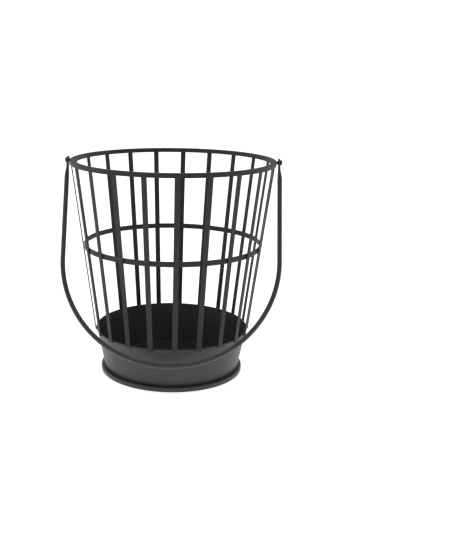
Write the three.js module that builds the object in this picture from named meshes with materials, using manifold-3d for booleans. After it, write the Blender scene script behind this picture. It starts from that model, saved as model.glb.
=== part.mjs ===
// Firewood basket: a slatted steel cage on a shallow sheet-steel tub, with a swinging bail handle.
// Millimetres, +Z up. The origin is on the basket's axis, on the surface that the basket stands on.
// The handle's pins lie on the X axis's vertical plane, and the handle rests leaning towards -Y.

import * as THREE from 'three';
import { mergeVertices } from 'three/addons/utils/BufferGeometryUtils.js';
import Module from 'manifold-3d';

// ---- driving dimensions ----

const GAP = 0.3; // clearance left between pieces that touch or are welded
const SLAT_COUNT = 21;
const ROUND_SEGMENTS = 4 * SLAT_COUNT; // every slat sits on a corner of the faceted rings

const HEIGHT = 416; // overall, to the top ring's upper face
const TOP_RING = { outer: 195, width: 10, height: 8 };
const MID_RING = { width: 2, height: 10, bottom: 248 };
const SLAT = { width: 10, thickness: 2, topRadius: 192 };

const TUB = { sheet: 1.2, bottom: 0.8, bottomRadius: 131.1, hemBottom: 82.5, shoulderRadius: 147.6 };
const HEM = { outer: 149, height: 4, edge: 0.5 };
const LIP_INNER = 126; // the tub's inward lip, which carries the floor
const FLOOR_THICKNESS = 1.2;
const FOOT = { outer: 140, inner: 133.1, height: 9, topRound: 2, bottomRound: 0.8 };

const BAR_RADIUS = 4.5; // the handle's round bar
const LEG_X = 201.2; // half the distance between the handle's legs
const LEG_LENGTH = 190; // from the pivot down to where the bow begins
const BOW_DEPTH = 198; // the bow is half an ellipse, a little flatter than a half circle
const REST_LEAN = 25; // degrees; the pins' friction holds the bow some 16 mm clear of the tub
const EYE = { x: 200, thickness: 4, radius: 8, hole: 3.3 };
const FORGED = { flatEnd: 8, roundEnd: 32 }; // distances below the pivot where the eye runs out
const PIN = { radius: 3, head: 5.2, headEdge: 1.4, headHeight: 4 };

// ---- dimensions that follow ----

const ringBottom = HEIGHT - TOP_RING.height;
const pivotZ = HEIGHT - TOP_RING.height / 2;
const tubSlope = (TUB.shoulderRadius - TUB.bottomRadius) / (TUB.hemBottom - TUB.bottom);
const tubOuterAt = (z) => TUB.bottomRadius + (z - TUB.bottom) * tubSlope;
const tubSkin = TUB.sheet * Math.hypot(1, tubSlope); // sheet thickness measured along the radius
const slatTop = ringBottom - GAP;
const slatBottomRadius = HEM.outer + GAP + SLAT.thickness / 2;
const slatSlope = (SLAT.topRadius - slatBottomRadius) / (slatTop - TUB.hemBottom);
const slatAt = (z) => slatBottomRadius + (z - TUB.hemBottom) * slatSlope;

// ---- materials: one matt black powder coat, a little different on each kind of piece ----

function powderCoat(colour, roughness) {
  return new THREE.MeshStandardMaterial({ color: colour, roughness, metalness: 0.2 });
}

const COATS = {
  bar: () => powderCoat(0x3a3a3c, 0.55),
  slat: () => powderCoat(0x37373a, 0.55),
  tub: () => powderCoat(0x444446, 0.5),
  floor: () => powderCoat(0x2b2b2d, 0.6),
  handle: () => powderCoat(0x3c3c3f, 0.5),
  pin: () => powderCoat(0x2c2c2e, 0.45),
};

// ---- helpers ----

function named(name, geometry, material) {
  const mesh = new THREE.Mesh(geometry, material);
  mesh.name = name;
  return mesh;
}

// Spins a closed outline of [radius, height] points about Z.
function spin(outline, segments = ROUND_SEGMENTS) {
  const points = outline.map(([radius, height]) => new THREE.Vector2(radius, height));
  points.push(points[0].clone());
  return new THREE.LatheGeometry(points, segments).rotateX(Math.PI / 2);
}

// A quarter circle of [radius, height] points about a centre, from one angle to another in degrees.
function arc(centre, radius, from, to, steps) {
  const points = [];
  for (let i = 0; i <= steps; i += 1) {
    const angle = THREE.MathUtils.degToRad(from + ((to - from) * i) / steps);
    points.push([centre[0] + radius * Math.cos(angle), centre[1] + radius * Math.sin(angle)]);
  }
  return points;
}

function weldedCopy(geometry) {
  const bare = geometry.clone();
  bare.deleteAttribute('normal');
  bare.deleteAttribute('uv');
  return mergeVertices(bare, 1e-4);
}

// ---- cage ----

function topRing() {
  const { outer, width, height } = TOP_RING;
  const edge = 0.8;
  const outline = [
    [outer - width + edge, 0],
    [outer - edge, 0],
    [outer, edge],
    [outer, height - edge],
    [outer - edge, height],
    [outer - width + edge, height],
    [outer - width, height - edge],
    [outer - width, edge],
  ];
  const mesh = named('top_ring', spin(outline), COATS.bar());
  mesh.position.z = ringBottom;
  return mesh;
}

// A flat bar on edge, inside the slats.
function midRing() {
  const outer = slatAt(MID_RING.bottom) - SLAT.thickness / 2 - GAP;
  const inner = outer - MID_RING.width;
  const outline = [
    [inner, 0],
    [outer, 0],
    [outer, MID_RING.height],
    [inner, MID_RING.height],
  ];
  const mesh = named('mid_ring', spin(outline), COATS.bar());
  mesh.position.z = MID_RING.bottom;
  return mesh;
}

// A straight flat strip from the tub's hem up to the underside of the top ring.
function slat(index) {
  const half = SLAT.thickness / 2;
  const side = new THREE.Shape([
    new THREE.Vector2(slatBottomRadius - half, TUB.hemBottom),
    new THREE.Vector2(slatBottomRadius + half, TUB.hemBottom),
    new THREE.Vector2(SLAT.topRadius + half, slatTop),
    new THREE.Vector2(SLAT.topRadius - half, slatTop),
  ]);
  const strip = new THREE.ExtrudeGeometry(side, { depth: SLAT.width, bevelEnabled: false });
  strip.translate(0, 0, -SLAT.width / 2);
  strip.rotateX(Math.PI / 2);
  const mesh = named(`slat_${String(index + 1).padStart(2, '0')}`, strip, COATS.slat());
  mesh.rotation.z = (index / SLAT_COUNT) * 2 * Math.PI;
  return mesh;
}

// ---- tub ----

// Tapered sheet with an inward lip at the bottom and a folded hem round the rim.
function tubWall() {
  const rim = TUB.hemBottom + HEM.height;
  const innerAt = (z) => tubOuterAt(z) - tubSkin;
  const lipTop = TUB.bottom + TUB.sheet;
  const outline = [
    [LIP_INNER, TUB.bottom],
    [TUB.bottomRadius, TUB.bottom],
    [TUB.shoulderRadius, TUB.hemBottom],
    [HEM.outer, TUB.hemBottom],
    [HEM.outer, rim - HEM.edge],
    [HEM.outer - HEM.edge, rim],
    [innerAt(rim) + HEM.edge, rim],
    [innerAt(rim - HEM.edge), rim - HEM.edge],
    [innerAt(lipTop), lipTop],
    [LIP_INNER, lipTop],
  ];
  return named('tub_wall', spin(outline), COATS.tub());
}

function tubFloor() {
  const bottom = TUB.bottom + TUB.sheet + GAP;
  const radius = tubOuterAt(bottom) - tubSkin - 1.5 * GAP;
  const disc = new THREE.CylinderGeometry(radius, radius, FLOOR_THICKNESS, ROUND_SEGMENTS);
  disc.rotateX(Math.PI / 2);
  disc.rotateZ(Math.PI / 2);
  const mesh = named('tub_floor', disc, COATS.floor());
  mesh.position.z = bottom + FLOOR_THICKNESS / 2;
  return mesh;
}

// The heavy ring round the tub's base, on which the basket stands.
function footRing() {
  const { outer, inner, height, topRound, bottomRound } = FOOT;
  const outline = [
    [inner, 0],
    ...arc([outer - bottomRound, bottomRound], bottomRound, -90, 0, 2),
    ...arc([outer - topRound, height - topRound], topRound, 0, 90, 4),
    [inner, height],
  ];
  return named('foot_ring', spin(outline), COATS.tub());
}

// ---- handle ----

// The handle's centre line in its own plane: down the left leg, round the bow, up the right leg.
// A station is an angle round the bow from the left leg, and a distance below the pivot on a leg.
// The stations are close together in the forged ends and far apart along the straight legs.
class BailPath extends THREE.Curve {
  constructor() {
    super();
    const eyeTip = EYE.radius - 0.3;
    const depths = [-eyeTip, -7, -5.6, -4, -2, 0, 2, 4, 6, FORGED.flatEnd, 13, 18, 23, 28, FORGED.roundEnd, 100];
    const leftLeg = depths.map((depth) => ({ angle: 0, depth }));
    const rightLeg = depths.map((depth) => ({ angle: Math.PI, depth })).reverse();
    const bowSteps = 40;
    const bow = [];
    for (let i = 0; i <= bowSteps; i += 1) {
      bow.push({ angle: (Math.PI * i) / bowSteps, depth: LEG_LENGTH });
    }
    this.stations = [...leftLeg, ...bow, ...rightLeg];
  }

  station(u) {
    return this.stations[Math.round(u * (this.stations.length - 1))];
  }

  getPointAt(u, target = new THREE.Vector3()) {
    const { angle, depth } = this.station(u);
    return target.set(-LEG_X * Math.cos(angle), 0, -depth - BOW_DEPTH * Math.sin(angle));
  }

  getTangentAt(u, target = new THREE.Vector3()) {
    const { angle } = this.station(u);
    return target.set(LEG_X * Math.sin(angle), 0, -BOW_DEPTH * Math.cos(angle)).normalize();
  }
}

// Flattens the bar's ends into eyes: thin across X, wide across Y, with a round tip.
function forgeEyes(geometry) {
  const position = geometry.attributes.position;
  for (let i = 0; i < position.count; i += 1) {
    const depth = -position.getZ(i);
    if (depth < FORGED.roundEnd) {
      const side = Math.sign(position.getX(i));
      const across = position.getX(i) * side - LEG_X;
      const along = position.getY(i);
      const run = (depth - FORGED.flatEnd) / (FORGED.roundEnd - FORGED.flatEnd);
      const round = THREE.MathUtils.smoothstep(run, 0, 1);
      const flatX = THREE.MathUtils.clamp(across, -EYE.thickness / 2, EYE.thickness / 2);
      const x = THREE.MathUtils.lerp(EYE.x + flatX, LEG_X + across, round);
      const halfWidth = depth < 0 ? Math.sqrt(EYE.radius ** 2 - depth ** 2) : EYE.radius;
      const y = along * THREE.MathUtils.lerp(halfWidth / BAR_RADIUS, 1, round);
      position.setXY(i, x * side, y);
    }
  }
}

function solid(wasm, geometry) {
  const merged = weldedCopy(geometry);
  return new wasm.Manifold(
    new wasm.Mesh({
      numProp: 3,
      vertProperties: new Float32Array(merged.attributes.position.array),
      triVerts: new Uint32Array(merged.index.array),
    }),
  );
}

function geometryOf(manifold) {
  const { vertProperties, triVerts } = manifold.getMesh();
  const geometry = new THREE.BufferGeometry();
  geometry.setAttribute('position', new THREE.BufferAttribute(vertProperties, 3));
  geometry.setIndex(new THREE.BufferAttribute(triVerts, 1));
  geometry.computeVertexNormals();
  return geometry;
}

// One round bar bent to a long bow, with a drilled eye at each end.
function handle(wasm) {
  const path = new BailPath();
  const section = new THREE.Shape();
  section.absarc(0, 0, BAR_RADIUS, 0, 2 * Math.PI);
  const bar = new THREE.ExtrudeGeometry(section, {
    steps: path.stations.length - 1,
    curveSegments: 12,
    extrudePath: path,
  });
  forgeEyes(bar);
  let body = solid(wasm, bar);
  for (const side of [-1, 1]) {
    const drill = new THREE.CylinderGeometry(EYE.hole, EYE.hole, 4 * EYE.thickness, 24);
    drill.rotateZ(Math.PI / 2);
    drill.translate(side * EYE.x, 0, 0);
    body = body.subtract(solid(wasm, drill));
  }
  const mesh = named('handle', geometryOf(body), COATS.handle());
  mesh.position.z = pivotZ;
  mesh.rotation.x = -THREE.MathUtils.degToRad(REST_LEAN);
  return mesh;
}

// A round-headed pin welded to the top ring's outer face; the handle's eye turns on its shank.
function pivotPin(name, side) {
  const start = TOP_RING.outer + GAP;
  const headStart = EYE.x + EYE.thickness / 2 + GAP;
  const dome = PIN.headHeight - PIN.headEdge;
  const outline = [
    [0, start],
    [PIN.radius, start],
    [PIN.radius, headStart],
    [PIN.head, headStart],
    [PIN.head, headStart + PIN.headEdge],
    [0.87 * PIN.head, headStart + PIN.headEdge + 0.5 * dome],
    [0.5 * PIN.head, headStart + PIN.headEdge + 0.87 * dome],
    [0, headStart + PIN.headHeight],
  ];
  const mesh = named(name, spin(outline, 24), COATS.pin());
  mesh.position.z = pivotZ;
  mesh.rotation.y = (side * Math.PI) / 2;
  return mesh;
}

// ---- assembly ----

const wasm = await Module();
wasm.setup();

const basket = new THREE.Group();
basket.add(topRing(), midRing(), tubWall(), tubFloor(), footRing());
for (let index = 0; index < SLAT_COUNT; index += 1) basket.add(slat(index));
basket.add(pivotPin('pivot_pin_left', -1), pivotPin('pivot_pin_right', 1));

const firewoodBasket = new THREE.Group();
firewoodBasket.name = 'firewood_basket';
firewoodBasket.add(basket, handle(wasm));

export default firewoodBasket;
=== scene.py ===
"""Looks of the firewood basket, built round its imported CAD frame.

A slatted steel cage stands on a shallow sheet-steel tub, and a round bail handle swings on two pins.
Everything wears a matt black powder coat. Metres, +Z up, the same frame as the CAD.
"""

import math

import bmesh
import bpy
from mathutils import Matrix, Vector, noise


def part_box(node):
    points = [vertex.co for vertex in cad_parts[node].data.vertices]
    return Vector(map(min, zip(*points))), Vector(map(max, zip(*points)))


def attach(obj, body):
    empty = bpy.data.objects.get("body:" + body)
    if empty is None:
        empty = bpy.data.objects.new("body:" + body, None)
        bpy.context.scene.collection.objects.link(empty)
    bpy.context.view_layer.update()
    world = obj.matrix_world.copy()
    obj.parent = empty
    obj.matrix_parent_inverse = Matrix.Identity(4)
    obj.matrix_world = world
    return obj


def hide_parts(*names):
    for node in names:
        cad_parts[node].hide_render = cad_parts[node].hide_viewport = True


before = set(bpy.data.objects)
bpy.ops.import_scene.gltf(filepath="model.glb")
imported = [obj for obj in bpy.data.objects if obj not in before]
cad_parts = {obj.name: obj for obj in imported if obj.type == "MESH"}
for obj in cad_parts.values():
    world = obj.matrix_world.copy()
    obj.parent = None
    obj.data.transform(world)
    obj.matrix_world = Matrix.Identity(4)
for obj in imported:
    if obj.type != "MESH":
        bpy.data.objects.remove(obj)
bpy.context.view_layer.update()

# ---- camera ----

# The camera looks down at the basket's front from a little to its right.
CAMERA_DISTANCE = 1.5744  # from the basket's axis, along the ground
CAMERA_HEIGHT = 0.61075
CAMERA_AZIMUTH = math.radians(2.009)
LOOK_AZIMUTH = math.radians(1.822)
LOOK_DOWN = math.radians(14.725)
ROLL = math.radians(0.60)
SENSOR = 36.0  # millimetres, as Blender has it
LENS = 55.106
SHIFT_RIGHT = 0.0926  # the basket stands left of the picture's middle
CLIP_START = 0.01
CLIP_END = 50.0


def make_camera():
    data = bpy.data.cameras.new("camera")
    data.sensor_fit = "AUTO"
    data.sensor_width = SENSOR
    data.lens = LENS
    data.shift_x = SHIFT_RIGHT
    data.clip_start = CLIP_START
    data.clip_end = CLIP_END
    camera = bpy.data.objects.new("camera", data)
    bpy.context.scene.collection.objects.link(camera)
    place = Vector(
        (
            CAMERA_DISTANCE * math.sin(CAMERA_AZIMUTH),
            -CAMERA_DISTANCE * math.cos(CAMERA_AZIMUTH),
            CAMERA_HEIGHT,
        )
    )
    turn = Matrix.Rotation(LOOK_AZIMUTH, 4, "Z")
    tilt = Matrix.Rotation(math.pi / 2 - LOOK_DOWN, 4, "X")
    roll = Matrix.Rotation(ROLL, 4, "Z")
    camera.matrix_world = Matrix.Translation(place) @ turn @ tilt @ roll
    bpy.context.scene.camera = camera


make_camera()

# ---- dimensions, the same as the CAD's ----

GAP = 0.0003  # the clearance that the CAD keeps between welded pieces
SLAT_COUNT = 21
RING_SEGMENTS = 16 * SLAT_COUNT

RING_WIDTH = 0.010
RING_EDGE = 0.0009
MID_RING_WIDTH = 0.002
MID_RING_EDGE = 0.0005
SLAT_WIDTH = 0.010
SLAT_THICKNESS = 0.002
SLAT_EDGE = 0.0006
SLAT_TOP_RADIUS = 0.192

TUB_SHEET = 0.0012
TUB_BOTTOM = 0.0008
TUB_BOTTOM_RADIUS = 0.1311
TUB_SHOULDER_RADIUS = 0.1476
HEM_OUTER = 0.149
HEM_HEIGHT = 0.004
LIP_INNER = 0.126
FOOT_TOP_ROUND = 0.002
FOOT_BOTTOM_ROUND = 0.0008

BAR_RADIUS = 0.0045
LEG_X = 0.2012
LEG_LENGTH = 0.190
BOW_DEPTH = 0.198
REST_LEAN = math.radians(25)
EYE_X = 0.200
EYE_THICKNESS = 0.004
EYE_EDGE = 0.0010
EYE_HOLE = 0.0033
FLAT_END = 0.008
ROUND_END = 0.032
PIN_RADIUS = 0.003
PIN_HEAD = 0.0052
PIN_HEAD_EDGE = 0.0014

# ---- places read from the frame ----

ring_low, ring_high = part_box("top_ring")
mid_low, mid_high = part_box("mid_ring")
tub_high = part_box("tub_wall")[1]
floor_low, floor_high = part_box("tub_floor")
foot_low, foot_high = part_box("foot_ring")
handle_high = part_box("handle")[1]
pin_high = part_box("pivot_pin_right")[1]

pivot_z = (ring_low.z + ring_high.z) / 2
rim_z = tub_high.z
hem_z = rim_z - HEM_HEIGHT
tub_slope = (TUB_SHOULDER_RADIUS - TUB_BOTTOM_RADIUS) / (hem_z - TUB_BOTTOM)
tub_skin = TUB_SHEET * math.hypot(1, tub_slope)
slat_bottom_radius = HEM_OUTER + GAP + SLAT_THICKNESS / 2
slat_slope = (SLAT_TOP_RADIUS - slat_bottom_radius) / (ring_low.z - GAP - hem_z)
eye_radius = handle_high.z - pivot_z


def tub_outer_at(z):
    return TUB_BOTTOM_RADIUS + (z - TUB_BOTTOM) * tub_slope


def tub_inner_at(z):
    return tub_outer_at(z) - tub_skin


def slat_radius_at(z):
    return slat_bottom_radius + (z - hem_z) * slat_slope


# ---- materials ----


class Nodes:
    """Short calls for building one material's node tree."""

    def __init__(self, name):
        self.material = bpy.data.materials.new(name)
        self.material.use_nodes = True
        self.tree = self.material.node_tree
        self.tree.nodes.clear()
        output = self.add("ShaderNodeOutputMaterial")
        self.shader = self.add("ShaderNodeBsdfPrincipled")
        self.link(self.shader.outputs["BSDF"], output.inputs["Surface"])
        self.place = self.add("ShaderNodeTexCoord").outputs["Object"]

    def add(self, kind, **settings):
        node = self.tree.nodes.new(kind)
        for key, value in settings.items():
            setattr(node, key, value)
        return node

    def link(self, source, target):
        self.tree.links.new(source, target)

    def noise(self, scale, detail=3.0, roughness=0.5):
        node = self.add("ShaderNodeTexNoise")
        node.inputs["Scale"].default_value = scale
        node.inputs["Detail"].default_value = detail
        node.inputs["Roughness"].default_value = roughness
        self.link(self.place, node.inputs["Vector"])
        return node.outputs["Fac"]

    def cells(self, scale):
        node = self.add("ShaderNodeTexVoronoi", feature="SMOOTH_F1")
        node.inputs["Scale"].default_value = scale
        node.inputs["Smoothness"].default_value = 0.7
        self.link(self.place, node.inputs["Vector"])
        return node.outputs["Distance"]

    def spread(self, source, low, high, start, end):
        """Maps source from low..high to start..end, clamped."""
        node = self.add("ShaderNodeMapRange")
        node.inputs["From Min"].default_value = low
        node.inputs["From Max"].default_value = high
        node.inputs["To Min"].default_value = start
        node.inputs["To Max"].default_value = end
        self.link(source, node.inputs["Value"])
        return node.outputs["Result"]

    def math(self, operation, first, second):
        node = self.add("ShaderNodeMath", operation=operation)
        for socket, value in zip(node.inputs, (first, second)):
            if isinstance(value, float):
                socket.default_value = value
            else:
                self.link(value, socket)
        return node.outputs["Value"]

    def mix(self, factor, first, second):
        node = self.add("ShaderNodeMix", data_type="RGBA")
        self.link(factor, node.inputs["Factor"])
        for socket, value in ((node.inputs[6], first), (node.inputs[7], second)):
            if isinstance(value, tuple):
                socket.default_value = (*value, 1.0)
            else:
                self.link(value, socket)
        return node.outputs[2]


def shade_of(colour, factor):
    return tuple(channel * factor for channel in colour)


NOISE_LOW = 0.3  # nearly all of a noise's values lie between these two
NOISE_HIGH = 0.7
CLOUD_SCALE = 22.0  # broad, faint differences in the colour
CLOUD_SHADES = (0.86, 1.14)
SPECK_SCALE = 1900.0
SPECK_RANGE = (0.60, 0.74)
SPECK_SHADE = 1.9
SPECK_SHARE = 0.5
CHIP_SCALE = 160.0  # breaks up the rubbed edges
CHIP_RANGE = (0.42, 0.62)
EDGE_RANGE = (0.53, 0.62)  # the pointiness of a slightly to a fully rubbed edge
EDGE_SHADE = 3.2
EDGE_SHARE = 0.55
EDGE_GLOSS = 0.15
PATCH_SCALE = 45.0
PATCH_GLOSS = 0.05
FINE_SCALE = 700.0
FINE_GLOSS = 0.04
PEEL_SCALE = 620.0
PEEL_SHARE = 0.7
DUST_SCALE = 2600.0
DUST_SHARE = 0.45
SKIN_STRENGTH = 0.35
SKIN_HEIGHT = 0.00022


def powder_coat(name, colour, roughness, grain=1.0, wear=1.0):
    """Matt powder coat: a fine orange-peel skin, uneven gloss, and thin, rubbed edges."""
    nodes = Nodes(name)
    clouds = nodes.spread(nodes.noise(CLOUD_SCALE, detail=4.0), NOISE_LOW, NOISE_HIGH, 0.0, 1.0)
    darker, lighter = CLOUD_SHADES
    base = nodes.mix(clouds, shade_of(colour, darker), shade_of(colour, lighter))
    specks = nodes.spread(nodes.noise(SPECK_SCALE, detail=1.0), *SPECK_RANGE, 0.0, SPECK_SHARE)
    base = nodes.mix(specks, base, shade_of(colour, SPECK_SHADE))
    pointed = nodes.add("ShaderNodeNewGeometry").outputs["Pointiness"]
    rubbed = nodes.spread(pointed, *EDGE_RANGE, 0.0, EDGE_SHARE * wear)
    chips = nodes.noise(CHIP_SCALE, detail=5.0, roughness=0.65)
    edges = nodes.math("MULTIPLY", rubbed, nodes.spread(chips, *CHIP_RANGE, 0.0, 1.0))
    base = nodes.mix(edges, base, shade_of(colour, EDGE_SHADE))
    nodes.link(base, nodes.shader.inputs["Base Color"])

    patches = nodes.noise(PATCH_SCALE, detail=4.0)
    patches = nodes.spread(patches, NOISE_LOW, NOISE_HIGH, roughness - PATCH_GLOSS, roughness + PATCH_GLOSS)
    fine = nodes.noise(FINE_SCALE, detail=2.0)
    fine = nodes.spread(fine, NOISE_LOW, NOISE_HIGH, -FINE_GLOSS, FINE_GLOSS)
    gloss = nodes.math("ADD", patches, fine)
    gloss = nodes.math("SUBTRACT", gloss, nodes.math("MULTIPLY", edges, EDGE_GLOSS))
    nodes.link(gloss, nodes.shader.inputs["Roughness"])

    peel = nodes.math("MULTIPLY", nodes.cells(PEEL_SCALE), PEEL_SHARE)
    dust = nodes.math("MULTIPLY", nodes.noise(DUST_SCALE, detail=2.0), DUST_SHARE)
    skin = nodes.math("ADD", peel, dust)
    bump = nodes.add("ShaderNodeBump")
    bump.inputs["Strength"].default_value = SKIN_STRENGTH * grain
    bump.inputs["Distance"].default_value = SKIN_HEIGHT
    nodes.link(skin, bump.inputs["Height"])
    nodes.link(bump.outputs["Normal"], nodes.shader.inputs["Normal"])
    return nodes.material


COATS = {
    "cage_coat": powder_coat("cage_coat", (0.0112, 0.0112, 0.0138), 0.60),
    "tub_coat": powder_coat("tub_coat", (0.0330, 0.0292, 0.0346), 0.45),
    # the tub floor's own black coat with painted shade: made darker than the tub's coat to stand for the
    # shade inside the tub
    "floor_coat": powder_coat("floor_coat", (0.0135, 0.0135, 0.0140), 0.56, grain=1.3, wear=0.4),
    "handle_coat": powder_coat("handle_coat", (0.0360, 0.0338, 0.0378), 0.32),
    "pin_coat": powder_coat("pin_coat", (0.0120, 0.0120, 0.0126), 0.42, wear=1.5),
}

# ---- mesh building ----

MERGE_DISTANCE = 1e-7
SMALLEST_EDGE = 0.0001


def rounded(corners, steps=5):
    """A closed outline through (x, y, radius) corners, each rounded by its radius."""
    outline = []
    for index, (x, y, radius) in enumerate(corners):
        corner = Vector((x, y))
        before = (Vector(corners[index - 1][:2]) - corner).normalized()
        after = (Vector(corners[(index + 1) % len(corners)][:2]) - corner).normalized()
        if radius == 0:
            outline.append(corner)
            continue
        half = before.angle(after) / 2
        centre = corner + (before + after).normalized() * radius / math.sin(half)
        start = corner + before * radius / math.tan(half) - centre
        end = corner + after * radius / math.tan(half) - centre
        sweep = math.pi - 2 * half
        for step in range(steps + 1):
            part = step / steps
            first = start * math.sin((1 - part) * sweep)
            last = end * math.sin(part * sweep)
            outline.append(centre + (first + last) / math.sin(sweep))
    return outline


def quarter(centre, radii, start, end, steps):
    """Points on an ellipse about centre, from one angle to another in degrees."""
    points = []
    for step in range(steps + 1):
        angle = math.radians(start + (end - start) * step / steps)
        x = centre[0] + radii[0] * math.cos(angle)
        y = centre[1] + radii[1] * math.sin(angle)
        points.append(Vector((x, y)))
    return points


def add_skin(body, sections, loop):
    """Skins equal closed sections: round to the first again, or capped at both ends."""
    rows = [[body.verts.new(point) for point in section] for section in sections]
    count = len(rows[0])
    following = rows[1:] + rows[:1] if loop else rows[1:]
    for row, after in zip(rows, following):
        for i in range(count):
            j = (i + 1) % count
            body.faces.new((row[i], row[j], after[j], after[i]))
    if not loop:
        body.faces.new(list(reversed(rows[0])))
        body.faces.new(rows[-1])


def spun_sections(outline, segments):
    """Sections of an outline of (radius, height) points turned about Z."""
    sections = []
    for step in range(segments):
        angle = 2 * math.pi * step / segments
        sections.append([Vector((p.x * math.cos(angle), p.x * math.sin(angle), p.y)) for p in outline])
    return sections


def spun_solid_sections(outline, segments):
    """Rows, from pole to pole, of an outline that starts and ends on the axis."""
    rows = []
    for point in outline:
        row = []
        for step in range(segments):
            angle = 2 * math.pi * step / segments
            row.append(Vector((point.x * math.cos(angle), point.x * math.sin(angle), point.y)))
        rows.append(row)
    return rows


def finished(name, body, slot, rides, nodes, sharp=50.0):
    """Turns a bmesh into a shown piece that stands for CAD nodes."""
    bmesh.ops.remove_doubles(body, verts=body.verts, dist=MERGE_DISTANCE)
    bmesh.ops.recalc_face_normals(body, faces=body.faces)
    mesh = bpy.data.meshes.new(name)
    body.to_mesh(mesh)
    body.free()
    mesh.shade_smooth()
    mesh.set_sharp_from_angle(angle=math.radians(sharp))
    piece = bpy.data.objects.new(name, mesh)
    bpy.context.scene.collection.objects.link(piece)
    weighted = piece.modifiers.new("flat faces stay flat", "WEIGHTED_NORMAL")
    weighted.keep_sharp = True
    mesh.materials.append(COATS[slot])
    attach(piece, rides)
    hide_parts(*nodes)
    return piece


# ---- cage ----


def make_top_ring():
    outer = ring_high.x
    inner = outer - RING_WIDTH
    outline = rounded(
        [
            (inner, ring_low.z, RING_EDGE),
            (outer, ring_low.z, RING_EDGE),
            (outer, ring_high.z, RING_EDGE),
            (inner, ring_high.z, RING_EDGE),
        ]
    )
    body = bmesh.new()
    add_skin(body, spun_sections(outline, RING_SEGMENTS), loop=True)
    finished("upper_ring", body, "cage_coat", "basket", ["top_ring"])


def make_mid_ring():
    outer = slat_radius_at(mid_low.z) - SLAT_THICKNESS / 2
    inner = outer - MID_RING_WIDTH
    outline = rounded(
        [
            (inner, mid_low.z, MID_RING_EDGE),
            (outer, mid_low.z, MID_RING_EDGE),
            (outer, mid_high.z, MID_RING_EDGE),
            (inner, mid_high.z, MID_RING_EDGE),
        ],
        steps=4,
    )
    body = bmesh.new()
    add_skin(body, spun_sections(outline, RING_SEGMENTS), loop=True)
    finished("middle_ring", body, "cage_coat", "basket", ["mid_ring"])


def slat_section(z, grow):
    """The slat's rounded cross-section at a height, grown all round by some amount."""
    radius = slat_radius_at(z)
    thick = SLAT_THICKNESS / 2 + grow
    wide = SLAT_WIDTH / 2 + grow
    edge = max(SLAT_EDGE + grow, SMALLEST_EDGE)
    outline = rounded(
        [
            (radius - thick, -wide, edge),
            (radius + thick, -wide, edge),
            (radius + thick, wide, edge),
            (radius - thick, wide, edge),
        ],
        steps=4,
    )
    return [Vector((p.x, p.y, z)) for p in outline]


WELD_LUMPS = 0.16
WELD_LUMP_SCALE = 2.1
RING_WELD = (0.0009, 0.0036, 0.0009)
RING_WELD_OUT = 0.0006  # from the slat's inner face to the bead's middle
RING_WELD_SEED = 0.3
HEM_WELD = (0.0007, 0.0038, 0.0006)
HEM_WELD_OUT = 0.0003
HEM_WELD_DOWN = 0.0002
HEM_WELD_SEED = 7.7


def add_weld(body, centre, size, seed):
    """A small uneven weld bead, an ellipsoid roughened a little."""
    rings = 10
    around = 16
    rows = []
    for i in range(rings + 1):
        polar = math.pi * i / rings
        row = []
        for j in range(around):
            turn = 2 * math.pi * j / around
            direction = Vector(
                (math.sin(polar) * math.cos(turn), math.cos(polar), math.sin(polar) * math.sin(turn))
            )
            lump = 1 + WELD_LUMPS * noise.noise(direction * WELD_LUMP_SCALE + Vector((seed, 0, 0)))
            row.append(centre + Vector([d * s * lump for d, s in zip(direction, size)]))
        rows.append(row)
    add_skin(body, rows, loop=False)


SLAT_STEPS = 24
END_STEPS = 4
FILLET_STEPS = 6
FILLET = 0.0009  # the weld's fillet where a slat meets the top ring
END_EDGE = 0.0004
FILLET_SINK = 0.0001  # how far the slat's end runs into the ring


def make_slat(index):
    top = ring_low.z + FILLET_SINK
    stations = []
    for step in range(END_STEPS + 1):
        turn = math.pi / 2 * step / END_STEPS
        stations.append((hem_z + END_EDGE * (1 - math.cos(turn)), -END_EDGE * (1 - math.sin(turn))))
    low = hem_z + END_EDGE
    for step in range(1, SLAT_STEPS):
        stations.append((low + (top - FILLET - low) * step / SLAT_STEPS, 0.0))
    for step in range(FILLET_STEPS + 1):
        turn = math.pi / 2 * step / FILLET_STEPS
        stations.append((top - FILLET * (1 - math.sin(turn)), FILLET * (1 - math.cos(turn))))
    body = bmesh.new()
    add_skin(body, [slat_section(z, grow) for z, grow in stations], loop=False)
    mid_inner = slat_radius_at(mid_high.z) - SLAT_THICKNESS / 2
    ring_weld = Vector((mid_inner - RING_WELD_OUT, 0, mid_high.z))
    add_weld(body, ring_weld, RING_WELD, index + RING_WELD_SEED)
    rim_inner = slat_radius_at(rim_z) - SLAT_THICKNESS / 2
    hem_weld = Vector((rim_inner - HEM_WELD_OUT, 0, rim_z - HEM_WELD_DOWN))
    add_weld(body, hem_weld, HEM_WELD, index + HEM_WELD_SEED)
    bmesh.ops.rotate(
        body,
        verts=body.verts,
        cent=(0, 0, 0),
        matrix=Matrix.Rotation(2 * math.pi * index / SLAT_COUNT, 3, "Z"),
    )
    number = f"{index + 1:02d}"
    finished(f"cage_slat_{number}", body, "cage_coat", "basket", [f"slat_{number}"])


# ---- tub ----

CUT_EDGE = 0.0003
LIP_OUTER_BEND = 0.0010
LIP_INNER_BEND = 0.0005
HEM_LOWER_ROUND = 0.0006
HEM_UPPER_ROUND = 0.0011


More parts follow.
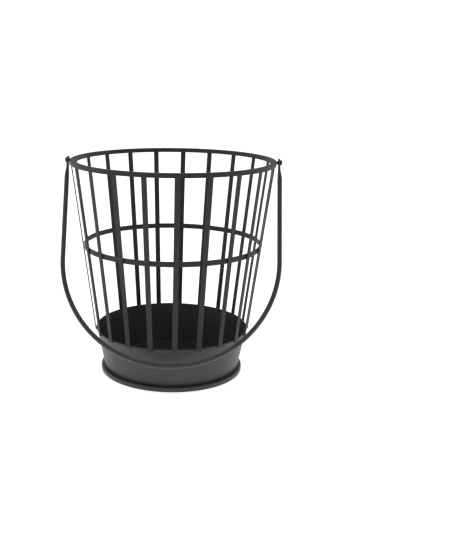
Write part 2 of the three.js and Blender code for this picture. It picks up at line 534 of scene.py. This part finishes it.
def make_tub_wall():
    hem_outer = HEM_OUTER + GAP
    lip_top = TUB_BOTTOM + TUB_SHEET
    outline = rounded(
        [
            (LIP_INNER, TUB_BOTTOM, CUT_EDGE),
            (TUB_BOTTOM_RADIUS, TUB_BOTTOM, LIP_OUTER_BEND),
            (TUB_SHOULDER_RADIUS, hem_z, CUT_EDGE),
            (hem_outer, hem_z, HEM_LOWER_ROUND),
            (hem_outer, rim_z, HEM_UPPER_ROUND),
            (tub_inner_at(rim_z), rim_z, HEM_UPPER_ROUND),
            (tub_inner_at(lip_top), lip_top, LIP_INNER_BEND),
            (LIP_INNER, lip_top, CUT_EDGE),
        ],
        steps=6,
    )
    body = bmesh.new()
    add_skin(body, spun_sections(outline, RING_SEGMENTS), loop=True)
    finished("tub_side", body, "tub_coat", "basket", ["tub_wall"], sharp=60)


FLOOR_FILLET = 0.0028
FLOOR_DISH = 0.0004
FLOOR_EDGE = 0.0002
FLOOR_LOWER_EDGE = 0.0004
FLOOR_CLEARANCE = 0.00005  # between the turned-up edge and the wall
FLOOR_STEPS = 24


def make_tub_floor():
    """A pressed disc whose edge turns up against the wall."""
    top = floor_high.z
    edge_radius = tub_inner_at(top + FLOOR_FILLET) - FLOOR_CLEARANCE
    bottom_radius = tub_inner_at(floor_low.z) - FLOOR_EDGE
    outline = [Vector((0, floor_low.z))]
    outline.append(Vector((bottom_radius - FLOOR_LOWER_EDGE, floor_low.z)))
    outline.append(Vector((bottom_radius, floor_low.z + FLOOR_LOWER_EDGE)))
    outline.append(Vector((edge_radius, top + FLOOR_FILLET - FLOOR_EDGE)))
    outline.append(Vector((edge_radius - FLOOR_EDGE, top + FLOOR_FILLET)))
    centre = (edge_radius - CUT_EDGE - FLOOR_FILLET, top + FLOOR_FILLET)
    outline += quarter(centre, (FLOOR_FILLET, FLOOR_FILLET), 0, -90, 8)[1:]
    flat_radius = centre[0]
    for step in range(1, FLOOR_STEPS):
        radius = flat_radius * (1 - step / FLOOR_STEPS)
        outline.append(Vector((radius, top - FLOOR_DISH * (1 - (radius / flat_radius) ** 2))))
    outline.append(Vector((0, top - FLOOR_DISH)))
    body = bmesh.new()
    add_skin(body, spun_solid_sections(outline, RING_SEGMENTS // 2), loop=False)
    # the tub floor wears the coat darkened with painted shade
    finished("tub_base", body, "floor_coat", "basket", ["tub_floor"])


def make_foot_ring():
    outer = foot_high.x
    outline = rounded(
        [
            (tub_outer_at(foot_low.z + TUB_BOTTOM) + 0.0001, foot_low.z, CUT_EDGE),
            (outer, foot_low.z, FOOT_BOTTOM_ROUND),
            (outer, foot_high.z, FOOT_TOP_ROUND),
            (tub_outer_at(foot_high.z), foot_high.z, 0),
        ],
        steps=8,
    )
    body = bmesh.new()
    add_skin(body, spun_sections(outline, RING_SEGMENTS), loop=True)
    finished("base_ring", body, "tub_coat", "basket", ["foot_ring"])


# ---- handle ----

BAR_SIDES = 40
BOW_STEPS = 120
LEG_STEPS = 14
TIP_STEPS = 12
EYE_STEPS = 12
FORGE_STEPS = 20


def eye_half_thickness(inset):
    """Half of the eye's thickness at a distance in from its outline: flat, with a rolled-over edge."""
    depth = min(max(inset / EYE_EDGE, 0.0), 1.0)
    return EYE_THICKNESS / 2 * math.sqrt(1 - (1 - depth) ** 2)


def leg_section(side, depth):
    """The bar's section at a depth below the pivot: a flat eye above, a round bar below."""
    run = min(max((depth - FLAT_END) / (ROUND_END - FLAT_END), 0.0), 1.0)
    round_share = run * run * (3 - 2 * run)
    half_width = math.sqrt(max(eye_radius**2 - min(depth, 0.0) ** 2, 0.0))
    points = []
    for step in range(BAR_SIDES):
        angle = 2 * math.pi * step / BAR_SIDES
        flat_y = half_width * math.sin(angle)
        inset = eye_radius - math.hypot(flat_y, min(depth, 0.0))
        flat_x = math.copysign(eye_half_thickness(inset), math.cos(angle))
        if abs(math.cos(angle)) < 1e-9:
            flat_x = 0.0
        x = (1 - round_share) * (EYE_X + flat_x) + round_share * (LEG_X + BAR_RADIUS * math.cos(angle))
        y = (1 - round_share) * flat_y + round_share * BAR_RADIUS * math.sin(angle)
        points.append(Vector((side * x, y, -depth)))
    half = BAR_SIDES // 2
    return [points[(half - step) % BAR_SIDES] for step in range(BAR_SIDES)]


def bow_section(angle):
    """The round bar's section on the bow, half an ellipse, at an angle from the left leg."""
    centre = Vector((-LEG_X * math.cos(angle), 0, -LEG_LENGTH - BOW_DEPTH * math.sin(angle)))
    out = Vector((-BOW_DEPTH * math.cos(angle), 0, -LEG_X * math.sin(angle))).normalized()
    points = []
    for step in range(BAR_SIDES):
        turn = 2 * math.pi * step / BAR_SIDES
        across = -out * math.cos(turn) + Vector((0, math.sin(turn), 0))
        points.append(centre + across * BAR_RADIUS)
    return points


def leg_depths():
    """Depths below the pivot from the eye's tip to just above the bow."""
    depths = []
    for step in range(TIP_STEPS):
        depths.append(-eye_radius * math.cos(math.pi / 2 * step / TIP_STEPS))
    for step in range(EYE_STEPS):
        depths.append(FLAT_END * step / EYE_STEPS)
    for step in range(FORGE_STEPS):
        depths.append(FLAT_END + (ROUND_END - FLAT_END) * step / FORGE_STEPS)
    for step in range(LEG_STEPS):
        depths.append(ROUND_END + (LEG_LENGTH - ROUND_END) * step / LEG_STEPS)
    return depths


COUNTERSINK = 0.0004
ROUND_SIDES = 48


def eye_cutter(side):
    """A drill with a small countersink on both faces of the eye."""
    half = EYE_THICKNESS / 2
    wide = EYE_HOLE + COUNTERSINK + 2 * half
    profile = [
        (0, -3 * half),
        (wide, -3 * half),
        (EYE_HOLE, -half + COUNTERSINK),
        (EYE_HOLE, half - COUNTERSINK),
        (wide, 3 * half),
        (0, 3 * half),
    ]
    body = bmesh.new()
    add_skin(body, spun_solid_sections([Vector(p) for p in profile], ROUND_SIDES), loop=False)
    bmesh.ops.remove_doubles(body, verts=body.verts, dist=MERGE_DISTANCE)
    bmesh.ops.recalc_face_normals(body, faces=body.faces)
    turn = Matrix.Translation((side * EYE_X, 0, 0)) @ Matrix.Rotation(math.pi / 2, 4, "Y")
    bmesh.ops.transform(body, matrix=turn, verts=body.verts)
    mesh = bpy.data.meshes.new("drill")
    body.to_mesh(mesh)
    body.free()
    cutter = bpy.data.objects.new("drill", mesh)
    bpy.context.scene.collection.objects.link(cutter)
    return cutter


def make_handle():
    depths = leg_depths()
    sections = [leg_section(-1, depth) for depth in depths]
    sections += [bow_section(math.pi * step / BOW_STEPS) for step in range(BOW_STEPS + 1)]
    sections += [leg_section(1, depth) for depth in reversed(depths)]
    body = bmesh.new()
    add_skin(body, sections, loop=False)
    bmesh.ops.remove_doubles(body, verts=body.verts, dist=MERGE_DISTANCE)
    bmesh.ops.recalc_face_normals(body, faces=body.faces)
    mesh = bpy.data.meshes.new("undrilled")
    body.to_mesh(mesh)
    body.free()
    blank = bpy.data.objects.new("undrilled", mesh)
    bpy.context.scene.collection.objects.link(blank)
    cutters = [eye_cutter(-1), eye_cutter(1)]
    for cutter in cutters:
        cut = blank.modifiers.new("drilled eye", "BOOLEAN")
        cut.object = cutter
        cut.operation = "DIFFERENCE"
        cut.solver = "EXACT"
    bpy.context.view_layer.update()
    drilled = blank.evaluated_get(bpy.context.evaluated_depsgraph_get())
    body = bmesh.new()
    body.from_mesh(drilled.to_mesh())
    drilled.to_mesh_clear()
    for scratch in (blank, *cutters):
        bpy.data.objects.remove(scratch)
    place = Matrix.Translation((0, 0, pivot_z)) @ Matrix.Rotation(-REST_LEAN, 4, "X")
    bmesh.ops.transform(body, matrix=place, verts=body.verts)
    finished("bail_handle", body, "handle_coat", "handle", ["handle"], sharp=35)


# ---- pivot pins ----


PIN_SINK = 0.0003  # how far the pin runs into the ring
PIN_COLLAR = 0.0010
PIN_HEAD_ROUND = 0.0004


def make_pin(name, side, node):
    """A round-headed pin, with a small weld collar against the top ring."""
    start = ring_high.x - PIN_SINK
    collar_centre = (PIN_RADIUS + PIN_COLLAR, start + PIN_SINK + PIN_COLLAR)
    head_start = EYE_X + EYE_THICKNESS / 2 + GAP
    head_end = pin_high.x
    dome = head_end - head_start - PIN_HEAD_EDGE
    outline = [Vector((0, start))]
    outline += quarter(collar_centre, (PIN_COLLAR, PIN_COLLAR), -90, -180, 6)
    outline.append(Vector((PIN_RADIUS, head_start)))
    edge_centre = (PIN_HEAD - PIN_HEAD_ROUND, head_start + PIN_HEAD_ROUND)
    outline += quarter(edge_centre, (PIN_HEAD_ROUND, PIN_HEAD_ROUND), -90, 0, 4)
    outline += quarter((0, head_start + PIN_HEAD_EDGE), (PIN_HEAD, dome), 0, 90, 12)[:-1]
    outline.append(Vector((0, head_end)))
    body = bmesh.new()
    add_skin(body, spun_solid_sections(outline, ROUND_SIDES), loop=False)
    place = Matrix.Translation((0, 0, pivot_z)) @ Matrix.Rotation(side * math.pi / 2, 4, "Y")
    bmesh.ops.transform(body, matrix=place, verts=body.verts)
    finished(name, body, "pin_coat", "basket", [node])


make_top_ring()
make_mid_ring()
for slat_index in range(SLAT_COUNT):
    make_slat(slat_index)
make_tub_wall()
make_tub_floor()
make_foot_ring()
make_handle()
make_pin("pin_left", -1, "pivot_pin_left")
make_pin("pin_right", 1, "pivot_pin_right")

# ---- floor and light ----

FLOOR_RADIUS = 9.0
FLOOR_SIDES = 64
FLOOR_GLOW = 0.70
FRONT_GLOW = 0.05  # the paper's glow, a painted light, is weaker further out in front
GLOW_FADE = (-1.6, -0.66)  # the stretch of Y over which it dims
PAPER_SCALE = 3.0
PAPER_SHADES = (0.93, 0.95)
PAPER_ROUGHNESS = 0.9
PAPER_SPECULAR = 0.1


def make_floor():
    body = bmesh.new()
    rim = []
    for step in range(FLOOR_SIDES):
        angle = 2 * math.pi * step / FLOOR_SIDES
        rim.append(body.verts.new((FLOOR_RADIUS * math.cos(angle), FLOOR_RADIUS * math.sin(angle), 0)))
    body.faces.new(rim)
    mesh = bpy.data.meshes.new("studio_floor")
    body.to_mesh(mesh)
    body.free()
    floor = bpy.data.objects.new("studio_floor", mesh)
    bpy.context.scene.collection.objects.link(floor)
    nodes = Nodes("floor_paper")
    darker, lighter = PAPER_SHADES
    tint = nodes.mix(nodes.noise(PAPER_SCALE), (darker,) * 3, (lighter,) * 3)
    nodes.link(tint, nodes.shader.inputs["Base Color"])
    nodes.shader.inputs["Roughness"].default_value = PAPER_ROUGHNESS
    nodes.shader.inputs["Specular IOR Level"].default_value = PAPER_SPECULAR
    nodes.shader.inputs["Emission Color"].default_value = (1, 1, 1, 1)
    across = nodes.add("ShaderNodeSeparateXYZ")
    nodes.link(nodes.place, across.inputs["Vector"])
    # The paper glows as a painted light: strong near the basket and weaker further out in front. The glow
    # keeps the floor white and lights the basket from below.
    glow = nodes.spread(across.outputs["Y"], *GLOW_FADE, FRONT_GLOW, FLOOR_GLOW)
    nodes.link(glow, nodes.shader.inputs["Emission Strength"])
    mesh.materials.append(nodes.material)


LIGHT_TARGET = Vector((0, 0, 0.2))
LEFT_LIGHT_PLACE = (-2.4, -0.6, 1.3)
LEFT_LIGHT_SIZE = (1.6, 1.6)
LEFT_LIGHT_POWER = 5  # watts


def make_light(name, place, size, power):
    data = bpy.data.lights.new(name, "AREA")
    data.shape = "RECTANGLE"
    data.size, data.size_y = size
    data.energy = power
    light = bpy.data.objects.new(name, data)
    bpy.context.scene.collection.objects.link(light)
    light.location = place
    aim = LIGHT_TARGET - Vector(place)
    light.rotation_mode = "QUATERNION"
    light.rotation_quaternion = aim.to_track_quat("-Z", "Y")


HORIZON_LIGHT = 1.1
WALL_LIGHT = 0.42
WALL_FADE = (0.08, 0.22)  # along Z on the unit sphere, from the horizon's light to the wall's
ROOF_LIGHT = 0.50  # added to the wall's
ROOF_FADE = (0.30, 0.75)
FRONT_SHARE = 0.4  # the share of its light that the wall has left behind the camera
FRONT_FADE = (-0.5, 0.5)  # along Y on the unit sphere


def make_world():
    """A white surround: brightest low down at the back, dim behind the camera, and soft overhead."""
    world = bpy.data.worlds.new("studio")
    world.use_nodes = True
    tree = world.node_tree
    background = tree.nodes["Background"]
    background.inputs["Color"].default_value = (1, 1, 1, 1)

    def ramp(source, low, high, start, end):
        node = tree.nodes.new("ShaderNodeMapRange")
        node.interpolation_type = "SMOOTHSTEP"
        node.inputs["From Min"].default_value = low
        node.inputs["From Max"].default_value = high
        node.inputs["To Min"].default_value = start
        node.inputs["To Max"].default_value = end
        tree.links.new(source, node.inputs["Value"])
        return node.outputs["Result"]

    direction = tree.nodes.new("ShaderNodeTexCoord").outputs["Generated"]
    parts = tree.nodes.new("ShaderNodeSeparateXYZ")
    tree.links.new(direction, parts.inputs["Vector"])

    def combine(operation, first, second):
        node = tree.nodes.new("ShaderNodeMath")
        node.operation = operation
        tree.links.new(first, node.inputs[0])
        tree.links.new(second, node.inputs[1])
        return node.outputs["Value"]

    wall = ramp(parts.outputs["Z"], *WALL_FADE, HORIZON_LIGHT, WALL_LIGHT)
    roof = ramp(parts.outputs["Z"], *ROOF_FADE, 0.0, ROOF_LIGHT)
    front = ramp(parts.outputs["Y"], *FRONT_FADE, FRONT_SHARE, 1.0)
    lit = combine("ADD", combine("MULTIPLY", wall, front), roof)
    tree.links.new(lit, background.inputs["Strength"])
    bpy.context.scene.world = world


make_floor()
make_light("left_light", LEFT_LIGHT_PLACE, LEFT_LIGHT_SIZE, LEFT_LIGHT_POWER)
make_world()
bpy.context.scene.view_settings.view_transform = "Standard"
